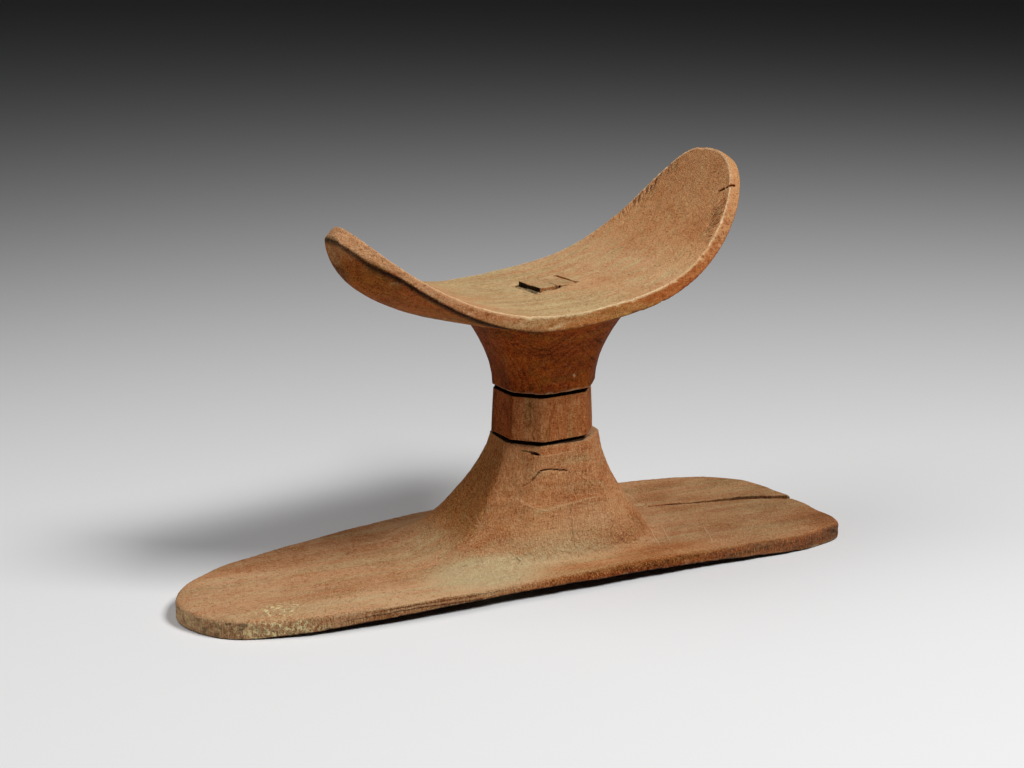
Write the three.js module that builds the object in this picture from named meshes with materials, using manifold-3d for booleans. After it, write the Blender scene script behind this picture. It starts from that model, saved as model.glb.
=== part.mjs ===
// A carved wooden headrest: a long base plank with a flared stem, an octagonal middle block,
// a crescent neckrest on its own short stem, and a loose tenon with a wedge that lines them up.
// Millimetres, +Z up. X runs along the plank and Y across it. Everything is drawn round the base
// stem's axis, and the last lines move it so that the origin is under the middle of the object.
import * as THREE from "three";
import { mergeVertices } from "three/addons/utils/BufferGeometryUtils.js";
import Module from "manifold-3d";

const wasm = await Module();
wasm.setup();

// ---- driving dimensions ----
const plankThickness = 8.6;
const plankEdgeRound = 2;
const archRise = 4.2; // the underside is hollowed lengthwise, so the plank stands on its two ends
const archFrom = -150;
const archTo = 112;

const stemTop = 56.7; // top face of the base stem
const openJoint = 1.4; // the open line seen between two blocks
const contactGap = 0.3; // what is left where two pieces bear on each other
const blockHeight = 19.7;
const mortiseDepth = 30; // blind mortise in the base stem

const seatLow = 121.4; // lowest line of the seat
const hornRise = 45.5; // horn tips above the seat, before the tilt
const seatHalfLength = 92.2;
const seatHalfWidth = 42.8;
const hornSteepness = { left: 2.6, right: 3.1 }; // exponent of each end's rise
const hornBluntness = { left: 2.1, right: 2.7 }; // exponent of each end's superellipse in plan
const seatTilt = 5.4; // degrees, the +X horn stands higher
const seatYaw = 7.7; // degrees, the neckrest is turned on the stem
const seatCentre = [-3.2, -4.8];
const rimThickness = 6.2;
const keelThickness = { middle: 8.5, left: 18.5, right: 13.2 }; // along the crescent's centre line

const tenonThickness = 8.9; // along X
const tenonWidth = 16.6; // along Y
const wedgeThickness = 9.8; // at its top, beside the tenon
const wedgeTaper = 3.4; // how much thinner it is at its foot
const wedgeLength = 38;
const tenonClearance = 0.3; // on every side of a mortise
const tenonCentre = [2.2, 2]; // middle of tenon and wedge together
const tenonYaw = 8; // degrees

// The octagon of the stem: flats at halfX and halfY, corners at cornerX and cornerY.
const octagon = { halfX: 21.7, halfY: 19.9, cornerX: 11.4, cornerY: 8.7 };
const blockYaw = 6; // degrees, the two upper pieces have turned on the tenon
const blockCentre = [-1.7, -0.9];
const neckCentre = [-1.2, -1.4];

const blockBottom = stemTop + openJoint;
const blockTop = blockBottom + blockHeight;
const neckBottom = blockTop + openJoint;

// ---- solids ----

// Joins rings of equal count into one closed body. Each ring runs counter-clockwise seen from above,
// and the first and the last ring are closed by a fan round their middle.
function closedLoft(rings) {
  const count = rings[0].length;
  const vertices = rings.flat();
  const faces = [];
  for (let i = 0; i + 1 < rings.length; i++) {
    for (let j = 0; j < count; j++) {
      const a = i * count + j;
      const b = i * count + ((j + 1) % count);
      faces.push(a, b, b + count, a, b + count, a + count);
    }
  }
  for (const end of [0, rings.length - 1]) {
    const middle = vertices.length;
    vertices.push(rings[end].reduce((sum, p) => sum.clone().add(p), new THREE.Vector3()).divideScalar(count));
    for (let j = 0; j < count; j++) {
      const a = end * count + j;
      const b = end * count + ((j + 1) % count);
      faces.push(middle, ...(end ? [a, b] : [b, a]));
    }
  }
  const geometry = new THREE.BufferGeometry().setFromPoints(vertices);
  geometry.setIndex(faces);
  return solidFrom(geometry);
}

function solidFrom(geometry) {
  const bare = geometry.clone();
  bare.deleteAttribute("normal");
  bare.deleteAttribute("uv");
  const merged = mergeVertices(bare, 1e-4);
  return new wasm.Manifold(
    new wasm.Mesh({
      numProp: 3,
      vertProperties: new Float32Array(merged.attributes.position.array),
      triVerts: new Uint32Array(merged.index.array),
    }),
  );
}

// Turns a ring about Z by a number of degrees, then moves it.
function place(ring, degrees, [x, y]) {
  const turn = new THREE.Matrix4().makeRotationZ(THREE.MathUtils.degToRad(degrees));
  turn.setPosition(x, y, 0);
  return ring.map((p) => p.clone().applyMatrix4(turn));
}

// One octagonal ring of 40 points at height z. roundness 0 keeps the flats, 1 makes an ellipse.
function stemRing(z, { halfX, halfY, cornerX, cornerY }, roundness = 0) {
  const corners = [
    [halfX, -cornerY], [halfX, cornerY], [cornerX, halfY], [-cornerX, halfY],
    [-halfX, cornerY], [-halfX, -cornerY], [-cornerX, -halfY], [cornerX, -halfY],
  ];
  const perSide = 5;
  const ring = [];
  corners.forEach(([x0, y0], side) => {
    const [x1, y1] = corners[(side + 1) % corners.length];
    for (let step = 0; step < perSide; step++) {
      const x = x0 + ((x1 - x0) * step) / perSide;
      const y = y0 + ((y1 - y0) * step) / perSide;
      const onEllipse = 1.04 / Math.hypot(x / halfX, y / halfY);
      const scale = 1 + (onEllipse - 1) * roundness;
      ring.push(new THREE.Vector3(x * scale, y * scale, z));
    }
  });
  return ring;
}

const scaled = (shape, k) =>
  Object.fromEntries(Object.entries(shape).map(([key, value]) => [key, value * k]));

// A rectangular bar standing on z0, [x0, x1] by [y0, y1] at the top and x1 - taper at the foot,
// in the tenon's own turned frame.
function tenonBar([x0, x1], halfWidth, z0, z1, taper = 0) {
  const ring = (z, right) =>
    [[x0, -halfWidth], [right, -halfWidth], [right, halfWidth], [x0, halfWidth]].map(
      ([x, y]) => new THREE.Vector3(x, y, z),
    );
  const rings = [ring(z0, x1 - taper), ring(z1, x1)];
  return closedLoft(rings.map((r) => place(r, tenonYaw, tenonCentre)));
}

// ---- base: plank, hollowed underside and flared octagonal stem ----

// The plank in plan: rounded narrow end at -X, blunt end at +X with its back corner cut off.
const plankOutline = [
  [130.5, -14], [131.5, -38], [112, -47.3], [60, -48.7], [-30, -49.8], [-90, -49.5], [-131, -45.5],
  [-158, -34], [-169.8, -12], [-163.5, 7], [-142, 22.7], [-100, 37.2], [-45, 50.3],
  [20, 52.8], [75, 49], [103, 42.5], [120, 29], [127.5, 8],
].reverse();
const outlineCurve = new THREE.CatmullRomCurve3(
  plankOutline.map(([x, y]) => new THREE.Vector3(x, y, 0)),
  true,
);
const outlineSteps = 96;

function plankRing(z, inset) {
  const ring = [];
  for (let i = 0; i < outlineSteps; i++) {
    const point = outlineCurve.getPointAt(i / outlineSteps);
    const along = outlineCurve.getTangentAt(i / outlineSteps);
    ring.push(new THREE.Vector3(point.x - along.y * inset, point.y + along.x * inset, z));
  }
  return ring;
}

// A quarter round at the lower and the upper edge.
function plankRings() {
  const rings = [];
  for (const degrees of [90, 60, 30, 0]) {
    const angle = THREE.MathUtils.degToRad(degrees);
    const inset = plankEdgeRound * (1 - Math.cos(angle));
    const rise = plankEdgeRound * (1 - Math.sin(angle));
    rings.push([rise, inset]);
  }
  const upper = rings.map(([z, inset]) => [plankThickness - z, inset]).reverse();
  return [...rings, ...upper].map(([z, inset]) => plankRing(z, inset));
}

// The flare of the stem spreads by these amounts at its foot.
const flare = { halfY: 12, cornerX: 19, cornerY: 9.4 };
// The -X side slopes evenly, the +X side stays upright for longer and then sweeps out.
const flareLeft = { ...flare, halfX: 32, power: 1.4 };
const flareRight = { ...flare, halfX: 29, power: 1.65 };
const flareBackLeft = 6.5; // the back corner at -X reaches this much further
const flareFoot = plankThickness / 2;

function flareRings() {
  const rings = [];
  for (const part of [1, 0.93, 0.85, 0.75, 0.64, 0.52, 0.4, 0.27, 0.13, 0]) {
    const z = stemTop + (flareFoot - stemTop) * part;
    const side = (growth) => {
      const spread = part ** growth.power;
      const shape = {};
      for (const key in octagon) shape[key] = octagon[key] + growth[key] * spread;
      return stemRing(z, shape, 0.35 * part);
    };
    const left = side(flareLeft);
    const right = side(flareRight);
    const reachBack = (p) => {
      const share = Math.max(0, Math.sin(2 * Math.atan2(-p.x, p.y)));
      p.y += flareBackLeft * share * part;
      p.x -= flareBackLeft * share * part;
      return p;
    };
    rings.push(left.map((p, i) => (p.x < 0 ? (p.y > 0 ? reachBack(p) : p) : right[i])));
  }
  return rings;
}

function makeArch() {
  const chord = archTo - archFrom;
  const radius = (chord * chord) / (8 * archRise) + archRise / 2;
  const middle = (archFrom + archTo) / 2;
  const steps = 24;
  const ring = (y) => {
    const points = [];
    for (let i = 0; i <= steps; i++) {
      const x = archTo - (chord * i) / steps;
      const z = Math.sqrt(radius ** 2 - (x - middle) ** 2) - (radius - archRise);
      points.push(new THREE.Vector3(x, y, i % steps ? z : 0));
    }
    points.push(new THREE.Vector3(archFrom, y, -5), new THREE.Vector3(archTo, y, -5));
    return points;
  };
  return closedLoft([ring(80), ring(-80)]);
}

const tenonHalf = tenonWidth / 2;
const tenonLeft = -(tenonThickness + wedgeThickness + tenonClearance) / 2;
const tenonRight = tenonLeft + tenonThickness;
const wedgeRight = -tenonLeft;
const tenonFoot = stemTop - mortiseDepth + tenonClearance;

function mortise(right, z0, z1) {
  const gap = tenonClearance;
  return tenonBar([tenonLeft - gap, right + gap], tenonHalf + gap, z0, z1);
}

const stem = closedLoft(flareRings());
const base = closedLoft(plankRings())
  .add(stem)
  .subtract(makeArch())
  .subtract(mortise(tenonRight, stemTop - mortiseDepth, stemTop + 5));

// ---- middle block: octagonal, a little wider at its foot ----

// A low land round the mortise on each end face carries the load and keeps the outer joint open.
const landHeight = openJoint - contactGap;
const landShape = scaled(octagon, 0.72);

function blockRing(z, shape) {
  return place(stemRing(z, shape), blockYaw, blockCentre);
}

const blockBody = closedLoft([
  blockRing(blockBottom, scaled(octagon, 0.97)),
  blockRing(blockTop, scaled(octagon, 0.93)),
]);
const blockLand = closedLoft([
  blockRing(blockBottom - landHeight, landShape),
  blockRing(blockTop + landHeight, landShape),
]);
const middleBlock = blockBody
  .add(blockLand)
  .subtract(mortise(tenonRight, blockBottom - 10, blockTop + 10));

// ---- neckrest: crescent on a short stem that turns from octagonal to round ----

function seatHeight(x) {
  const steepness = x < 0 ? hornSteepness.left : hornSteepness.right;
  return hornRise * Math.abs(x / seatHalfLength) ** steepness;
}

// Tilts and turns a point of the crescent from its own frame into the drawing.
const seatFrame = new THREE.Matrix4()
  .makeTranslation(seatCentre[0], seatCentre[1], seatLow)
  .multiply(new THREE.Matrix4().makeRotationZ(THREE.MathUtils.degToRad(seatYaw)))
  .multiply(new THREE.Matrix4().makeRotationY(THREE.MathUtils.degToRad(-seatTilt)));

// Thin at the rim and full along the centre line, like the hull of a boat.
function crescentThickness(x, y, bluntness) {
  const along = Math.min(1, Math.abs(x / seatHalfLength));
  const halfWidth = seatHalfWidth * (1 - along ** bluntness) ** (1 / bluntness);
  const across = Math.min(1, Math.abs(y) / (halfWidth + 1e-6));
  const atHorn = x < 0 ? keelThickness.left : keelThickness.right;
  const keel = keelThickness.middle + (atHorn - keelThickness.middle) * along ** 2;
  return rimThickness + (keel - rimThickness) * (1 - across ** 2) * (1 - along ** 14);
}

// reach 0 is the middle of the crescent and 1 its rim; depth 0 is the seat and 1 the underside.
function crescentRing(reach, depth) {
  const steps = 80;
  const ring = [];
  for (let i = 0; i < steps; i++) {
    const angle = (2 * Math.PI * i) / steps;
    const c = Math.cos(angle);
    const s = Math.sin(angle);
    const bluntness = c < 0 ? hornBluntness.left : hornBluntness.right;
    const x = seatHalfLength * reach * Math.sign(c) * Math.abs(c) ** (2 / bluntness);
    const y = seatHalfWidth * reach * Math.sign(s) * Math.abs(s) ** (2 / bluntness);
    const slope = (seatHeight(x + 0.1) - seatHeight(x - 0.1)) / 0.2;
    const drop = (depth * crescentThickness(x, y, bluntness)) / Math.hypot(1, slope);
    const point = new THREE.Vector3(x + drop * slope, y, seatHeight(x) - drop);
    ring.push(point.applyMatrix4(seatFrame));
  }
  return ring;
}

const reaches = [0.12, 0.3, 0.48, 0.64, 0.78, 0.9, 0.985];
const crescent = closedLoft([
  ...reaches.map((reach) => crescentRing(reach, 1)),
  crescentRing(1, 0.8),
  crescentRing(1, 0.2),
  ...reaches.map((reach) => crescentRing(reach, 0)).reverse(),
]);

const neckFlareTop = 114; // buried in the crescent
function neckRings() {
  const rings = [];
  for (const part of [0, 0.25, 0.45, 0.6, 0.72, 0.82, 0.91, 1]) {
    const z = neckBottom + (neckFlareTop - neckBottom) * part;
    const shape = scaled(octagon, 0.97 + 0.7 * part ** 1.85);
    rings.push(place(stemRing(z, shape, 0.1 + 0.9 * part), blockYaw, neckCentre));
  }
  return rings;
}

const neckrest = crescent
  .add(closedLoft(neckRings()))
  .subtract(mortise(wedgeRight, neckBottom - 5, seatLow + 30));

// ---- tenon and wedge: their heads end level, flush at +X and standing proud at -X ----

const headLevel = seatLow + 1.3;
const tenon = tenonBar([tenonLeft, tenonRight], tenonHalf, tenonFoot, headLevel);
const wedge = tenonBar(
  [tenonRight + tenonClearance, wedgeRight],
  tenonHalf,
  headLevel - wedgeLength,
  headLevel,
  wedgeTaper,
);

// ---- the assembly ----

function meshOf(name, solid, colour) {
  const { vertProperties, triVerts } = solid.getMesh();
  const geometry = new THREE.BufferGeometry();
  geometry.setAttribute("position", new THREE.BufferAttribute(vertProperties, 3));
  geometry.setIndex(new THREE.BufferAttribute(triVerts, 1));
  geometry.computeVertexNormals();
  const mesh = new THREE.Mesh(geometry, new THREE.MeshStandardMaterial({ color: colour, roughness: 0.8 }));
  mesh.name = name;
  return mesh;
}

const headrest = new THREE.Group();
headrest.add(
  meshOf("base", base, 0x96613b),
  meshOf("middle_block", middleBlock, 0x8f5a37),
  meshOf("neckrest", neckrest, 0xa06f45),
  meshOf("tenon", tenon, 0xa98253),
  meshOf("wedge", wedge, 0xb08a5c),
);
const middle = new THREE.Box3().setFromObject(headrest).getCenter(new THREE.Vector3());
headrest.position.set(-middle.x, -middle.y, 0);

export default headrest;
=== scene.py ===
"""Looks of a carved wooden headrest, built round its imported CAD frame.

Each piece of wood is drawn as a field: a number for every point of a grid, below zero inside the
wood and above zero outside, close to the distance in millimetres from its surface. Fields join,
cut and soften each other the way carving does, and skin() turns the result into a mesh. Lengths
are millimetres round the axis of the base stem until place() puts them in the frame's metres.
"""

import math
from functools import partial
from itertools import product

import bpy
import numpy as np
import openvdb
from mathutils import Euler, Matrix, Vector


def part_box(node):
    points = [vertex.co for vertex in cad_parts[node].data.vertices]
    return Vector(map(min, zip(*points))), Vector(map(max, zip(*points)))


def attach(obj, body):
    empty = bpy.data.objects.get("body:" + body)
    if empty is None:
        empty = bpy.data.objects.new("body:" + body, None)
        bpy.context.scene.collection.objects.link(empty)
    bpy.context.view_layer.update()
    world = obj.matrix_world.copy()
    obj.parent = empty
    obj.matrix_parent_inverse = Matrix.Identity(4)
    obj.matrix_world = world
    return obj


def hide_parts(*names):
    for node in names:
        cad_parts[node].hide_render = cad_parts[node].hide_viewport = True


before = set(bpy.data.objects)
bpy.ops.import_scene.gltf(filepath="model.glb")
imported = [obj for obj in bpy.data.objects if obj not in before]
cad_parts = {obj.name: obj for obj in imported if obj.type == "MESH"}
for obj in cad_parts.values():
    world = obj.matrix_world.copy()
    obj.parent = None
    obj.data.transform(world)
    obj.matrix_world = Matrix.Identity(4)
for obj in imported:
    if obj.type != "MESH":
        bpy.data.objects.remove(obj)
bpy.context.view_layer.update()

# ---- dimensions, in millimetres ----

MM = 0.001
BLOCK_YAW = math.radians(6)
BLOCK_CENTRE = (-1.7, -0.9)
NECK_CENTRE = (-1.2, -1.4)
LAND_HEIGHT = 1.1  # hidden lands that keep the two joints open
LAND_SCALE = 0.72


def box_of(node):
    """Lowest and highest corner of a CAD node, in millimetres."""
    low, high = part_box(node)
    return np.array(low) / MM, np.array(high) / MM


block_low, block_high = box_of("middle_block")
AXIS = (block_low[:2] + block_high[:2]) / 2 - BLOCK_CENTRE
STEM_TOP = box_of("base")[1][2]
BLOCK_BOTTOM = block_low[2] + LAND_HEIGHT
BLOCK_TOP = block_high[2] - LAND_HEIGHT
NECK_BOTTOM = box_of("neckrest")[0][2]
NECK_TOP = 114
HEAD_LEVEL = box_of("tenon")[1][2]
TENON_FOOT = box_of("tenon")[0][2]
WEDGE_FOOT = box_of("wedge")[0][2]

PLANK_THICKNESS = 8.6
ARCH_RISE = 4.2
ARCH_ENDS = (-150, 112)
PLANK_OUTLINE = [
    (130.5, -14), (131.5, -38), (112, -47.3), (60, -48.7), (-30, -49.8), (-90, -49.5),
    (-131, -45.5), (-158, -34), (-169.8, -12), (-163.5, 7), (-142, 22.7), (-100, 37.2),
    (-45, 50.3), (20, 52.8), (75, 49), (103, 42.5), (120, 29), (127.5, 8),
]
# Cracks: along the plank's blunt end, across the stem, under its top edge and over the rim.
CRACK = [(60, 12.7), (71, 11.2), (80, 8.6), (93, 7), (106, 5.6), (117, 2), (127, -2.8), (140, -8)]
STEM_CRACK = [
    (-19.6, -19.4, 39.6), (-16.1, -21, 42.3), (-12.5, -21.4, 46), (-8.7, -21.4, 46.3), (0, -21.2, 44.6),
]
STEM_SPLIT = [(-17.9, -13.9, 54), (-15.7, -16.2, 53.6), (-12.5, -19.7, 52.8)]
RIM_CRACK = [(75.9, -13.9, 159.3), (77.6, -16.9, 160.9), (79.4, -19.7, 162.1), (82.5, -20.5, 162)]

# The octagon of the stem: flats at half_x and half_y, corners at corner_x and corner_y.
OCTAGON = {"half_x": 21.7, "half_y": 19.9, "corner_x": 11.4, "corner_y": 8.7}
FLARE = {"half_y": 12, "corner_x": 19, "corner_y": 9.4}
FLARE_LEFT = {**FLARE, "half_x": 32, "power": 1.4}
FLARE_RIGHT = {**FLARE, "half_x": 29, "power": 1.65}
FLARE_BACK_LEFT = 6.5  # how much further the back corner at -X reaches

SEAT_LOW = 121.4
SEAT_CENTRE = (-3.2, -4.8)
SEAT_YAW = math.radians(7.7)
SEAT_TILT = math.radians(5.4)
SEAT_HALF_LENGTH = 92.2
SEAT_HALF_WIDTH = 42.8
HORN_RISE = 45.5
HORN_STEEPNESS = (2.65, 3.05)  # at -X and at +X, as the next ones
HORN_BLUNTNESS = (2.04, 2.67)
BACK_BLUNTER = (0.17, -0.14)  # added to the bluntness behind, taken from it in front
KEEL_AT_HORN = (19.2, 13.2)
KEEL_IN_MIDDLE = (7, 12.5)
RIM_THICKNESS = (3.6, 6.2)

TENON_YAW = math.radians(8)
TENON_CENTRE = (2.2, 2)
TENON_SIDES = (-9.5, -0.6)
WEDGE_SIDES = (-0.3, 9.5)
WEDGE_TAPER = 3.4
TENON_HALF_WIDTH = 8.3
CLEARANCE = 0.3
MORTISE_FLOOR = TENON_FOOT - CLEARANCE


# ---- fields ----


class Grid:
    """Sample points that fill a box, with a step between them."""

    def __init__(self, low, high, step):
        axes = [np.arange(a, b, step, dtype=np.float32) for a, b in zip(low, high)]
        self.x, self.y, self.z = np.meshgrid(*axes, indexing="ij", sparse=True)
        self.low = np.array(low)
        self.step = step


def ease(value, start, end):
    """0 before start, 1 after end and an even passage between them."""
    t = np.clip((value - start) / (end - start), 0, 1)
    return t * t * (3 - 2 * t)


def between(value, start, full, fading, end):
    """1 from full to fading, with an even passage up to it from start and down again to end."""
    return ease(value, start, full) * (1 - ease(value, fading, end))


def cut(field, away):
    """What is left of a field when another is cut away."""
    return np.maximum(field, -away)


def smooth_max(a, b, width):
    """What lies inside both fields, the edge between them softened over a width."""
    near = np.maximum(width - np.abs(a - b), 0)
    return np.maximum(a, b) + near * near / (4 * width)


def smooth_min(a, b, width):
    """What lies inside either field, with a fillet where they meet."""
    return -smooth_max(-a, -b, width)


def rounded(a, b, radius):
    """What lies inside both fields, their shared edge rounded to a radius."""
    outside = np.hypot(np.maximum(a + radius, 0), np.maximum(b + radius, 0))
    return np.minimum(np.maximum(a, b) + radius, 0) + outside - radius


def evened(field, step):
    """Scales a field until it changes by one for each millimetre."""
    slopes = np.gradient(field, step)
    return field / np.maximum(np.sqrt(sum(slope * slope for slope in slopes)), 0.3)


def along_line(u, v, line):
    """For each point, its distance from a line of points, the share of the line that is nearest
    and on which side of it the point lies."""
    best = np.full(np.broadcast(u, v).shape, 1e9, np.float32)
    share = np.zeros_like(best)
    side = np.ones_like(best)
    steps = len(line) - 1
    for i in range(steps):
        (u0, v0), (u1, v1) = line[i], line[i + 1]
        du, dv = u1 - u0, v1 - v0
        t = np.clip(((u - u0) * du + (v - v0) * dv) / (du * du + dv * dv), 0, 1)
        off_u = u - (u0 + t * du)
        off_v = v - (v0 + t * dv)
        square = off_u * off_u + off_v * off_v
        nearer = square < best
        best = np.where(nearer, square, best)
        share = np.where(nearer, (i + t) / steps, share)
        side = np.where(nearer, np.sign(du * off_v - dv * off_u), side)
    return np.sqrt(best), share, side


def slit(u, v, line, width, depth):
    """A crack along a line in the u, v plane. Its width is the pair at the line's two ends, and
    depth is a field that is below zero where the crack reaches."""
    away, share, _ = along_line(u, v, line)
    return np.maximum(away - (width[0] + (width[1] - width[0]) * share) / 2, depth)


def noise(points, size, seed):
    """Smooth random numbers from -1 to 1 whose lumps have that size, which may differ by axis."""
    count = 32
    lattice = np.random.default_rng(seed).uniform(-1, 1, (count, count, count))
    place_in = points / np.array(size) + count * 4
    cell = np.floor(place_in).astype(int)
    part = place_in - cell
    part = part * part * (3 - 2 * part)
    total = np.zeros(len(points))
    for corner in product((0, 1), repeat=3):
        weight = np.prod(np.where(corner, part, 1 - part), axis=1)
        total += weight * lattice[tuple(((cell + corner) % count).T)]
    return total


def turned(x, y, angle, centre=(0, 0)):
    """Coordinates seen from a frame that is turned about Z and moved."""
    x, y = x - centre[0], y - centre[1]
    c, s = math.cos(angle), math.sin(angle)
    return x * c + y * s, y * c - x * s


def turned_back(x, y, angle):
    """The other way round, without the move."""
    return turned(x, y, -angle)


def octagon(x, y, left, right, softness):
    """An upright octagonal post. left and right hold its four sizes on either side, and each
    may change with height. The arrises between its faces are softened."""

    def blended(key):
        return left[key] + (right[key] - left[key]) * ease(x, -9, 9)

    half_y = blended("half_y")
    field = smooth_max(x - right["half_x"], -x - left["half_x"], 1)
    field = smooth_max(field, np.abs(y) - half_y, softness)
    for sizes, across in ((right, x), (left, -x)):
        run = sizes["half_x"] - sizes["corner_x"]
        rise = half_y - sizes["corner_y"]
        slant = (across - sizes["half_x"]) * rise + (np.abs(y) - sizes["corner_y"]) * run
        field = smooth_max(field, slant / np.hypot(run, rise), softness)
    return field


def scaled(shape, factor):
    """A post's sizes, all changed by one factor."""
    return {key: value * factor for key, value in shape.items()}


def spread(part, growth):
    """The stem's octagon grown towards its flared foot, where part is 1."""
    return {key: OCTAGON[key] + growth[key] * part ** growth["power"] for key in OCTAGON}


def mortise(grid_x, grid_y, right):
    """The slot for the tenon, and for the wedge where right is the wedge's far side."""
    x, y = turned(grid_x, grid_y, TENON_YAW, TENON_CENTRE)
    middle = (TENON_SIDES[0] + right) / 2
    half = (right - TENON_SIDES[0]) / 2 + CLEARANCE
    return np.maximum(np.abs(x - middle) - half, np.abs(y) - TENON_HALF_WIDTH - CLEARANCE)


# ---- meshes ----

MOST_TRIANGLES = 190_000
RIM_REACH = 300  # lengths along and across the rim are painted as shares of these two
RIM_DEPTH = 50


def skin(field_of, low, high, step, *details):
    """The surface where a field is zero, sampled in a box. Gives its points, its four-sided faces
    and the way each point faces, which is outwards."""
    grid = Grid(low, high, step)
    field = field_of(grid, *details)
    band = 3.0
    volume = openvdb.FloatGrid(band)
    volume.copyFromArray(np.clip(field / grid.step, -band, band).astype(np.float32))
    points, _, faces = volume.convertToPolygons(isovalue=0, adaptivity=0)
    points = points.astype(float) * grid.step + grid.low
    faces = faces.astype(int)
    first = faces[np.argmax(points[faces[:, 0], 2])]
    if np.cross(points[first[2]] - points[first[0]], points[first[3]] - points[first[1]])[2] < 0:
        faces = faces[:, ::-1]
    return points, faces, normals(points, faces)


def normals(points, faces):
    corners = points[faces]
    facing = np.cross(corners[:, 2] - corners[:, 0], corners[:, 3] - corners[:, 1])
    total = np.zeros_like(points)
    for k, axis in product(range(4), range(3)):
        total[:, axis] += np.bincount(faces[:, k], facing[:, axis], len(points))
    return total / np.linalg.norm(total, axis=1, keepdims=True)


def new_object(name, data):
    """A new object in the scene."""
    made = bpy.data.objects.new(name, data)
    bpy.context.scene.collection.objects.link(made)
    return made


def place(name, points, faces):
    """A mesh object in the frame, thinned where it has more triangles than it needs."""
    mesh = bpy.data.meshes.new(name)
    mesh.from_pydata((points + [*AXIS, 0]) * MM, [], faces)
    piece = new_object(name, mesh)
    if 2 * len(faces) > MOST_TRIANGLES:
        thin = piece.modifiers.new("thin", "DECIMATE")
        thin.ratio = MOST_TRIANGLES / (2 * len(faces))
        held = bpy.context.evaluated_depsgraph_get()
        piece.data = bpy.data.meshes.new_from_object(piece.evaluated_get(held))
        piece.modifiers.clear()
        piece.data.name = name
    piece.data.shade_smooth()
    return piece


def read(piece):
    """A mesh's points in millimetres round the stem, and the way each one faces."""
    count = len(piece.data.vertices)
    points = np.empty(count * 3, np.float32)
    facing = np.empty(count * 3, np.float32)
    piece.data.vertices.foreach_get("co", points)
    piece.data.vertices.foreach_get("normal", facing)
    return points.reshape(-1, 3) / MM - [*AXIS, 0], facing.reshape(-1, 3)


def paint(piece, name, values):
    """Stores a share from 0 to 1 at every point of a mesh, for its material to use."""
    layer = piece.data.attributes.new(name, "FLOAT", "POINT")
    every = np.broadcast_to(values, len(layer.data))
    layer.data.foreach_set("value", np.clip(every, 0, 1).astype(np.float32))


def neighbour_mean(values, edges):
    total = np.zeros_like(values)
    for axis in range(values.shape[1]):
        for here, there in ((0, 1), (1, 0)):
            total[:, axis] += np.bincount(edges[:, here], values[edges[:, there], axis], len(values))
    return total / np.maximum(np.bincount(edges.ravel(), minlength=len(values)), 1)[:, None]


def sharpness(piece, passes):
    """How far each point stands out from the ones round it, in millimetres, over a reach that
    grows with the passes. It is above zero on edges and below zero in hollows."""
    points, facing = read(piece)
    edges = np.empty(len(piece.data.edges) * 2, np.int32)
    piece.data.edges.foreach_get("vertices", edges)
    edges = edges.reshape(-1, 2)
    around = points
    for _ in range(passes):
        around = neighbour_mean(around, edges)
    return ((points - around) * facing).sum(axis=1)


def blob(points, centre, size):
    """1 at a centre, fading to 0 at a distance that may differ by axis."""
    away = np.sqrt((((points - centre) / size) ** 2).sum(axis=1))
    return 1 - ease(away, 0.35, 1)


# ---- the five pieces of wood ----


def closed_curve(points, per_side):
    """A centripetal Catmull-Rom curve through the points, closed."""
    knots = [np.array(p, float) for p in points]
    count = len(knots)
    curve = []
    for i in range(count):
        p = [knots[(i + k - 1) % count] for k in range(4)]
        t = [0.0]
        for a, b in zip(p, p[1:]):
            t.append(t[-1] + math.sqrt(np.linalg.norm(b - a)))
        for step in range(per_side):
            s = t[1] + (t[2] - t[1]) * step / per_side
            a = [p[k] + (p[k + 1] - p[k]) * (s - t[k]) / (t[k + 1] - t[k]) for k in range(3)]
            b = [a[k] + (a[k + 1] - a[k]) * (s - t[k]) / (t[k + 2] - t[k]) for k in range(2)]
            curve.append(b[0] + (b[1] - b[0]) * (s - t[1]) / (t[2] - t[1]))
    return curve + curve[:1]


def underside(x):
    """Height of the plank's underside, which is hollowed between its two ends."""
    chord = ARCH_ENDS[1] - ARCH_ENDS[0]
    radius = chord**2 / (8 * ARCH_RISE) + ARCH_RISE / 2
    from_middle = x - sum(ARCH_ENDS) / 2
    arch = np.sqrt(np.maximum(radius**2 - from_middle**2, 0)) - (radius - ARCH_RISE)
    return np.maximum(arch, 0)


def plank_field(g):
    """The plank: its outline, its worn edges and its hollowed underside."""
    away, _, side = along_line(g.x, g.y, closed_curve(PLANK_OUTLINE, 9))
    # The edge wavers, most of all round the blunt end.
    waver = 0.3 * np.sin(g.x / 7.3 + 1) * np.sin(g.x / 17 + g.y / 23)
    waver = waver + 0.5 * np.sin(g.y / 3.1) * np.sin(g.y / 7.7) * ease(g.x, 100, 125)
    plan = away * side + waver + 0.15

    # Behind the crack the plank has sunk a little.
    away_crack, _, crack_side = along_line(g.x, g.y, CRACK)
    sunk = 0.7 * np.exp(-away_crack / 9) * np.where(crack_side > 0, 0, 1) * ease(g.x, 75, 120)
    worn_end = ease(g.x, 105, 134) * ease(-g.y, 5, 25) + 0.4 * ease(-g.x, 140, 170)
    # Along the front the upper edge is rolled over in places.
    rolled = 0.5 + 0.5 * np.sin(g.x / 11 + 2) * np.sin(g.x / 29)
    worn_front = 1.2 * rolled * ease(-g.y, 30, 48)
    top = PLANK_THICKNESS - sunk - (worn_end + worn_front) * ease(-plan, 12, 0)
    worn_round = between(g.x, -75, -35, 45, 90) * ease(-g.y, 20, 40)
    upper = rounded(g.z - top, plan, 1.9 + 1.8 * worn_round)
    return rounded(upper, underside(g.x) - g.z, 0.5)


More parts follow.
